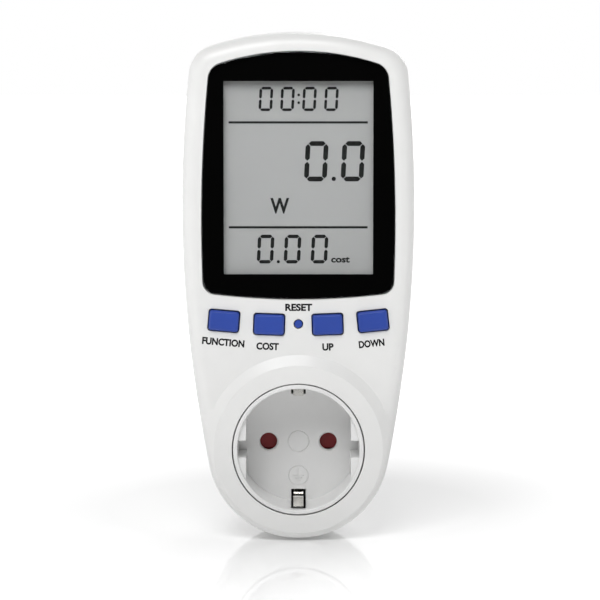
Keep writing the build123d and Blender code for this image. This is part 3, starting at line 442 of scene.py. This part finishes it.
def board_material(name, mask_colour, copper_colour, pitch=260.0):
    """Solder mask with copper runs under it, on a grid of short straight stretches."""
    material, tree, shader = new_material(name, coat_weight=0.4)
    place = add(tree, "TexCoord").outputs["Object"]
    cells = add(tree, "TexVoronoi", feature="DISTANCE_TO_EDGE", distance="CHEBYCHEV")
    wire(tree, place, cells.inputs["Vector"])
    cells.inputs["Scale"].default_value = pitch
    run = ramp(tree, cells.outputs["Distance"], 0.09, 0.06)
    tone = place_group(tree, tone_drift, color=tinted(mask_colour, 1.0),
                       second_color=tinted(mask_colour, 0.8))
    colour = blend_colour(tree, run, tone.outputs["Color"], tinted(copper_colour, 1.0))
    wire(tree, colour, shader.inputs["Base Color"])
    skin = place_group(tree, mould_grain, grain_scale=3600.0, roughness=0.3, spread=0.08)
    wire(tree, skin.outputs["Roughness"], shader.inputs["Roughness"])
    relief(tree, run, shader, 0.03 * MM)
    return material


board_green = board_material("green solder mask", (0.012, 0.13, 0.04), (0.03, 0.24, 0.08))
screw_steel = metal("zinc-plated screws", (0.56, 0.56, 0.58), 0.3, tarnish=0.4)
finish_node(board_green, "main_board", "power_board")
finish_node(screw_steel, "board_screws", "power_board_screws", "carrier_screws")


# ---- Parts on the boards -------------------------------------------------------------------
# Chips and header in black epoxy, crystal in its plated can, the mains filter's capacitor and
# varistor, small leaded parts, the fuse, the shunt and the three backup cells on their tabs.

switch_black = moulded("black moulding", (0.018, 0.018, 0.02), 0.42, drift=0.7, rub=0.3)
finish_node(switch_black, "controller_chip", "metering_chip", "board_header", "switch_bodies")
crystal_can = metal("plated can", (0.68, 0.68, 0.70), 0.18, streaks=600.0)
finish_node(crystal_can, "crystal", "battery_tabs")
film_yellow = moulded("yellow capacitor case", (0.68, 0.50, 0.06), 0.3, drift=0.85)
can_sleeve = moulded("capacitor sleeve", (0.02, 0.02, 0.045), 0.28, drift=0.7)
varistor_blue = moulded("varistor epoxy", (0.03, 0.12, 0.36), 0.25, depth=0.02 * MM, drift=0.8)
diode_black = moulded("diode epoxy", (0.02, 0.02, 0.02), 0.3, drift=0.7)
resistor_tan = moulded("resistor lacquer", (0.52, 0.38, 0.22), 0.35, drift=0.85)
fuse_white = moulded("fuse ceramic", (0.78, 0.77, 0.73), 0.3, drift=0.93)
shunt_metal = metal("resistance alloy", (0.46, 0.40, 0.34), 0.34, tarnish=0.6)
cell_steel = metal("plated cells", (0.62, 0.62, 0.62), 0.22)
finish_node(film_yellow, "film_capacitor")
finish_node(can_sleeve, "electrolytic_capacitors")
finish_node(varistor_blue, "varistor")
finish_node(diode_black, "diodes")
finish_node(resistor_tan, "resistors")
finish_node(fuse_white, "fuse")
finish_node(shunt_metal, "current_shunt")
finish_node(cell_steel, "backup_cells")


# ---- Contact carrier and contacts ----------------------------------------------------------
# A grey heat-proof block behind the socket's floor, with two rolled brass sleeves for the pins.

carrier_grey = moulded("grey heat-proof moulding", (0.28, 0.285, 0.29), 0.45, drift=0.85)
contact_brass = metal("bare brass", (0.70, 0.50, 0.20), 0.26, tarnish=0.5)
finish_node(carrier_grey, "contact_carrier")
finish_node(contact_brass, "line_contact", "neutral_contact")


# ---- Shutter -------------------------------------------------------------------------------
# The dark red slide that shuts both pin holes until a plug's pins push it up on its cams,
# against a small spring of steel wire.

shutter_red = moulded("dark red shutter", (0.2, 0.008, 0.011), 0.4, drift=0.6, depth=0.006 * MM,
                      specular_ior_level=0.3)
smooth_skin("shutter", "shutter_slider", shutter_red)
spring_steel = metal("bright spring steel", (0.62, 0.62, 0.62), 0.2)
finish_node(spring_steel, "switch_domes")
coil = smooth_skin("shutter_spring", "housing", spring_steel)
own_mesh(coil)


# ---- Earth clips ---------------------------------------------------------------------------
# Two sprung fingers of nickelled bronze in the slots at the top and the bottom of the recess.
# Each is a bent strip that bulges inward to meet the side contact of a plug.

smooth_skin("earth_clip_upper", "upper_clip", earth_nickel)
smooth_skin("earth_clip_lower", "lower_clip", earth_nickel)


# ---- Socket insert -------------------------------------------------------------------------
# The round recess for an appliance plug: one glossy white moulding with side flats, key
# notches, two pin holes and, raised on its floor, a plain ring and an earth sign in a ring.

smooth_skin("socket_well", "housing", socket_white)
floor_y = next(m for m in frame["record"]["mounts"] if m["name"] == "socket_floor")["pos_m"][1]
mark_height = 0.16 * MM
mark_width = 0.34 * MM
ring_segments = 72


def raised_ring(form, z, radius):
    """A low half-round ring on the floor, spun round the Y axis."""
    profile = []
    steps = 6
    for n in range(steps + 1):
        turn = pi * n / steps
        x = radius + mark_width / 2 * cos(turn)
        profile.append(form.verts.new((x, floor_y - mark_height * sin(turn), z)))
    edges = [form.edges.new(pair) for pair in zip(profile, profile[1:])]
    edges.append(form.edges.new((profile[-1], profile[0])))
    bmesh.ops.spin(form, geom=profile + edges, cent=(0.0, floor_y, z), axis=(0.0, 1.0, 0.0), angle=2 * pi,
                   steps=ring_segments, use_merge=True)


def raised_bar(form, x, z, width, height):
    """A low bar on the floor with its outer edges rounded over."""
    verts = flat_bar(form, x, z, width, height, floor_y - mark_height, floor_y + 0.02 * MM)
    edges = list({edge for vert in verts for edge in vert.link_edges})
    front = [e for e in edges if all(v.co.y < floor_y for v in e.verts)]
    bmesh.ops.bevel(form, geom=front, offset=0.1 * MM, affect="EDGES", segments=2, profile=0.5, material=-1)


marks = bmesh.new()
raised_ring(marks, 0.0, 3.3 * MM)
earth_z = -10.9 * MM
raised_ring(marks, earth_z, 3.1 * MM)
raised_bar(marks, 0.0, earth_z + 1.1 * MM, mark_width, 2.0 * MM)
for n in range(3):
    raised_bar(marks, 0.0, earth_z - (0.1 + 0.8 * n) * MM, (3.6 - 1.2 * n) * MM, mark_width)
bmesh.ops.recalc_face_normals(marks, faces=marks.faces)
new_piece("socket_marks", marks, socket_white, "housing", smooth=True)


# ---- Display cell --------------------------------------------------------------------------
# The liquid crystal cell in its white frame, with a silvered sheet behind it and contact strips
# of layered rubber. Its lit segments are thin dark shapes in the plane of the front glass.

def cell_material():
    """A grey polariser with a slow drift of tone and a fine grain."""
    material, tree, shader = new_material("display cell", coat_weight=0.15)
    tone = place_group(tree, tone_drift, color=(0.40, 0.405, 0.40, 1.0),
                       second_color=(0.375, 0.38, 0.375, 1.0), patch_scale=30.0, specks=0.05)
    wire(tree, tone.outputs["Color"], shader.inputs["Base Color"])
    skin = place_group(tree, mould_grain, grain_scale=5200.0, roughness=0.5, spread=0.06)
    wire(tree, skin.outputs["Roughness"], shader.inputs["Roughness"])
    relief(tree, skin.outputs["Height"], shader, 0.001 * MM)
    return material


finish_node(cell_material(), "lcd_glass")
finish_node(metal("silvered film", (0.72, 0.72, 0.72), 0.3), "lcd_reflector")
finish_node(moulded("white display frame", (0.74, 0.74, 0.72), 0.4), "lcd_holder")
finish_node(moulded("layered contact rubber", (0.09, 0.09, 0.09), 0.6, drift=0.6), "zebra_strips")

glass_low, glass_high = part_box("lcd_glass")
view_margin = 2.7 * MM
view_left = glass_low.x + view_margin
view_top = glass_high.z - view_margin
figure_thickness = 0.03 * MM
figure_front = glass_low.y - figure_thickness
figure_slant = radians(3.0)


def segment(form, x, z, length, stroke, upright):
    """One segment: a bar with pointed ends."""
    half = length / 2
    tip = stroke / 2
    flat = half - tip
    outline = [(-half, 0), (-flat, tip), (flat, tip), (half, 0), (flat, -tip), (-flat, -tip)]
    corners = []
    for along, across in outline:
        point = (x + across, figure_front, z + along) if upright else (x + along, figure_front, z + across)
        corners.append(form.verts.new(point))
    face = form.faces.new(corners)
    grown = bmesh.ops.extrude_face_region(form, geom=[face])["geom"]
    back = [v for v in grown if isinstance(v, bmesh.types.BMVert)]
    bmesh.ops.translate(form, verts=back, vec=(0.0, figure_thickness, 0.0))
    return corners + back


def zero(form, left, top, width, height, stroke, gap):
    """A nought of six segments, leaning a little to the right."""
    middle = top - height / 2
    across = width - stroke
    half = (height - stroke) / 2
    verts = []
    for end in (-1, 1):
        verts += segment(form, left + width / 2, middle + end * half, across - 2 * gap, stroke, False)
        for side in (-1, 1):
            x = left + width / 2 + side * across / 2
            verts += segment(form, x, middle + end * half / 2, half - 2 * gap, stroke, True)
    lean = Matrix.Translation((0, 0, middle)) @ shear_x @ Matrix.Translation((0, 0, -middle))
    bmesh.ops.transform(form, matrix=lean, verts=verts)


def dot(form, x, z, radius):
    """A round point."""
    disc = Matrix.Translation((x, (figure_front + glass_low.y) / 2, z)) @ Matrix.Rotation(pi / 2, 4, "X")
    bmesh.ops.create_cone(form, cap_ends=True, segments=20, radius1=radius, radius2=radius,
                          depth=figure_thickness, matrix=disc)


shear_x = Matrix.Identity(4)
shear_x[0][2] = sin(figure_slant)
figures = bmesh.new()
# the clock row: two noughts, a colon, two noughts
clock_top = view_top - 1.8 * MM
for left in (11.0, 17.7, 24.5, 31.3):
    zero(figures, view_left + left * MM, clock_top, 4.25 * MM, 7.5 * MM, 0.84 * MM, 0.10 * MM)
for drop in (2.5, 4.9):
    dot(figures, view_left + 23.3 * MM, clock_top - drop * MM, 0.42 * MM)
# the power row: two large noughts with a point between
power_top = view_top - 18.6 * MM
for left in (25.2, 36.6):
    zero(figures, view_left + left * MM, power_top, 7.1 * MM, 12.5 * MM, 1.5 * MM, 0.14 * MM)
dot(figures, view_left + 34.2 * MM, power_top - 11.7 * MM, 0.68 * MM)
# the cost row: three noughts with a point after the first
cost_top = view_top - 47.7 * MM
for left in (10.4, 18.8, 27.2):
    zero(figures, view_left + left * MM, cost_top, 5.15 * MM, 9.0 * MM, 1.08 * MM, 0.11 * MM)
dot(figures, view_left + 16.95 * MM, cost_top - 8.45 * MM, 0.5 * MM)
# two rules across the display
rule_length = 43.2 * MM
for drop in (12.8, 45.4):
    flat_bar(figures, view_left + 1.55 * MM + rule_length / 2, view_top - drop * MM, rule_length, 0.7 * MM,
             figure_front, glass_low.y)
bmesh.ops.recalc_face_normals(figures, faces=figures.faces)
segment_black = printed_ink("dark segments", (0.012, 0.012, 0.012), 0.5, gloss=0.05)
new_piece("display_figures", figures, segment_black, "housing")


def lettering(name, words, centre, width, height, turn, front, material, weight=0.0):
    """A short word as a thin raised print, made from a text curve and stretched to its size."""
    curve = bpy.data.curves.new(name + "_curve", "FONT")
    curve.body = words
    curve.offset = weight
    curve.extrude = 0.5
    curve.resolution_u = 6
    outline = bpy.data.objects.new(name + "_curve", curve)
    bpy.context.scene.collection.objects.link(outline)
    bpy.context.view_layer.update()
    mesh = bpy.data.meshes.new_from_object(outline)
    bpy.data.objects.remove(outline)
    form = bmesh.new()
    form.from_mesh(mesh)
    bpy.data.meshes.remove(mesh)
    bmesh.ops.remove_doubles(form, verts=form.verts, dist=0.0001)
    low = [min(v.co[axis] for v in form.verts) for axis in range(3)]
    high = [max(v.co[axis] for v in form.verts) for axis in range(3)]
    middle = Vector([(a + b) / 2 for a, b in zip(low, high)])
    across = width / (high[0] - low[0])
    upward = height / (high[1] - low[1])
    scale = Matrix.Diagonal((across, upward, figure_thickness, 1.0))
    stand = Matrix.Translation((centre[0], front + figure_thickness / 2, centre[1]))
    stand = stand @ Matrix.Rotation(-turn, 4, "Y") @ Matrix.Rotation(pi / 2, 4, "X")
    bmesh.ops.transform(form, matrix=stand @ scale @ Matrix.Translation(-middle), verts=form.verts)
    return new_piece(name, form, material, "housing")


lettering("display_watts", "W", (view_left + 17.4 * MM, view_top - 38.7 * MM), 5.9 * MM, 4.9 * MM, 0.0,
          figure_front, segment_black, weight=0.03)
lettering("display_cost", "cost", (view_left + 36.3 * MM, view_top - 55.5 * MM), 5.8 * MM, 1.9 * MM, 0.0,
          figure_front, segment_black, weight=0.035)


# ---- Keys ----------------------------------------------------------------------------------
# Four rectangular caps and a small round reset pin, moulded in blue ABS. Each stands on the
# plunger of its own switch on the main board.

button_blue = moulded("blue key ABS", (0.014, 0.055, 0.36), 0.36, grain=3400.0, drift=0.86, rub=0.5,
                      dust=0.2, edge_width=0.3 * MM)
key_names = ("function", "cost", "up", "down", "reset")
for key in key_names:
    smooth_skin(key + "_button", key + "_key", button_blue)
    finish_node(switch_black, key + "_plunger")


# ---- Front shell ---------------------------------------------------------------------------
# The front half of the housing, with the raised ring round the socket, the seat of the window
# and the key holes. The words by the keys are pad-printed in black on its face.

smooth_skin("front_shell", "housing", housing_white)
legend_ink = printed_ink("black legend ink", (0.008, 0.008, 0.009), 0.5, gloss=0.15)
face_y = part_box("display_lens")[0].y
legend_height = 2.3 * MM
legends = {
    "function": ((-0.2, -6.7), 13.2, -5.0),
    "cost": ((-0.5, -6.9), 7.0, -2.0),
    "up": ((0.1, -7.1), 3.5, 1.0),
    "down": ((-0.4, -7.1), 8.0, 6.0),
    "reset": ((0.1, 5.2), 8.4, 0.0),
}
for key, (offset, width, turn) in legends.items():
    low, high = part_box(key + "_button")
    centre = ((low.x + high.x) / 2 + offset[0] * MM, (low.z + high.z) / 2 + offset[1] * MM)
    lettering("legend_" + key, key.upper(), centre, width * MM, legend_height, radians(turn),
              face_y - figure_thickness, legend_ink, weight=0.042)


# ---- Window --------------------------------------------------------------------------------
# A clear acrylic lens glued into the front over the black printed frame that hides the
# display's edges.

mask_black = moulded("black window print", (0.0015, 0.0015, 0.0015), 0.5, drift=0.8, rub=0.0, dust=0.0,
                     specks=0.0, depth=0.001 * MM, specular_ior_level=0.02)
finish_node(mask_black, "window_mask")


def lens_material():
    """Clear acrylic with hairline handling marks. Lamps shine through it to the display."""
    material, tree, shader = new_material("clear acrylic", transmission_weight=1.0, ior=1.49,
                                          base_color=(0.985, 0.99, 0.99, 1.0))
    place = add(tree, "TexCoord").outputs["Object"]
    stretch = add(tree, "Mapping")
    stretch.inputs["Rotation"].default_value = (0.0, 0.7, 0.0)
    stretch.inputs["Scale"].default_value = (1.0, 1.0, 0.03)
    wire(tree, place, stretch.inputs["Vector"])
    hairline = ramp(tree, noise(tree, stretch.outputs["Vector"], 700.0, 1.0), 0.66, 0.76)
    smear = ramp(tree, noise(tree, place, 60.0, 2.0), 0.45, 0.75, 0.01, 0.03)
    scratched = math_node(tree, "ADD", smear, math_node(tree, "MULTIPLY", hairline, 0.03))
    wire(tree, scratched, shader.inputs["Roughness"])
    path = add(tree, "LightPath")
    clear = add(tree, "BsdfTransparent")
    mixed = add(tree, "MixShader")
    wire(tree, path.outputs["Is Shadow Ray"], mixed.inputs[0])
    wire(tree, shader.outputs[0], mixed.inputs[1])
    wire(tree, clear.outputs[0], mixed.inputs[2])
    wire(tree, mixed.outputs[0], tree.nodes["Material Output"].inputs["Surface"])
    return material


smooth_skin("display_lens", "housing", lens_material())


# ---- Housing screws ------------------------------------------------------------------------
# Four zinc-plated self-tapping screws, driven from behind at the bottom of the deep wells.

finish_node(screw_steel, "housing_screws")


# ---- Studio --------------------------------------------------------------------------------
# A polished white floor under an even white surround. A large soft lamp hangs above in front,
# a weaker one stands on each side and another behind.

def floor_material():
    """White acrylic sheet, polished, with a faint unevenness."""
    material, tree, shader = new_material("white studio floor", ior=1.6)
    place = add(tree, "TexCoord").outputs["Object"]
    cloud = noise(tree, place, 6.0, 3.0)
    tone = blend_colour(tree, cloud, (0.93, 0.93, 0.93, 1.0), (0.95, 0.95, 0.95, 1.0))
    wire(tree, tone, shader.inputs["Base Color"])
    wire(tree, ramp(tree, cloud, 0.3, 0.7, 0.03, 0.06), shader.inputs["Roughness"])
    reach = add(tree, "VectorMath", operation="LENGTH")
    wire(tree, place, reach.inputs[0])
    shader.inputs["Emission Color"].default_value = (1.0, 1.0, 1.0, 1.0)
    glow = ramp(tree, reach.outputs["Value"], 0.07, 0.28, 0.1, 0.75)
    wire(tree, glow, shader.inputs["Emission Strength"])
    return material


floor_form = bmesh.new()
bmesh.ops.create_grid(floor_form, x_segments=4, y_segments=4, size=4.0,
                      matrix=Matrix.Translation((0.0, 3.3, cad_low.z)))
floor_mesh = bpy.data.meshes.new("studio_floor")
floor_form.to_mesh(floor_mesh)
floor_form.free()
floor_mesh.materials.append(floor_material())
studio_floor = bpy.data.objects.new("studio_floor", floor_mesh)
bpy.context.scene.collection.objects.link(studio_floor)

world = bpy.data.worlds.new("white surround")
world.use_nodes = True
bpy.context.scene.world = world
sky = world.node_tree
surround = sky.nodes["Background"]
direction = add(sky, "SeparateXYZ")
wire(sky, add(sky, "TexCoord").outputs["Generated"], direction.inputs[0])
rays = add(sky, "LightPath")
room = ramp(sky, direction.outputs["Y"], -0.9, -0.6, 0.02, 0.25)
behind = ramp(sky, direction.outputs["Y"], -0.2, 0.2)
mirrored = math_node(sky, "MULTIPLY", rays.outputs["Is Glossy Ray"], behind)
white_share = math_node(sky, "MAXIMUM", rays.outputs["Is Camera Ray"], mirrored)
wire(sky, blend_colour(sky, white_share, room, (1.0, 1.0, 1.0, 1.0)), surround.inputs["Color"])


def soft_lamp(name, place, aim, size, power):
    """A square soft lamp that faces a point."""
    light = bpy.data.lights.new(name, "AREA")
    light.size = size
    light.energy = power
    lamp = bpy.data.objects.new(name, light)
    lamp.location = place
    lamp.rotation_mode = "QUATERNION"
    lamp.rotation_quaternion = (Vector(aim) - Vector(place)).to_track_quat("-Z", "Y")
    bpy.context.scene.collection.objects.link(lamp)
    return lamp


subject = (0.0, -0.04, 0.05)
soft_lamp("top_lamp", (-0.15, -0.65, 0.75), subject, 0.5, 5.7)
soft_lamp("left_lamp", (-0.9, -0.35, 0.15), subject, 0.6, 0.8)
soft_lamp("right_lamp", (0.9, -0.35, 0.15), subject, 0.6, 0.3)
soft_lamp("back_lamp", (0.35, 0.9, 0.6), subject, 0.6, 4.0)
bpy.context.scene.view_settings.view_transform = "Standard"

camera_data = bpy.data.cameras.new("camera")
camera_data.lens = 154.7
camera = bpy.data.objects.new("camera", camera_data)
bpy.context.scene.collection.objects.link(camera)
camera_tilt = radians(5.6)
camera_distance = 0.8
camera_aim = Vector((0.0005, cad_low.y, 0.0470))
toward_camera = Vector((0.0, -cos(camera_tilt), sin(camera_tilt)))
camera.location = camera_aim + toward_camera * camera_distance
camera.rotation_mode = "QUATERNION"
camera.rotation_quaternion = (-toward_camera).to_track_quat("-Z", "Y")
bpy.context.scene.camera = camera
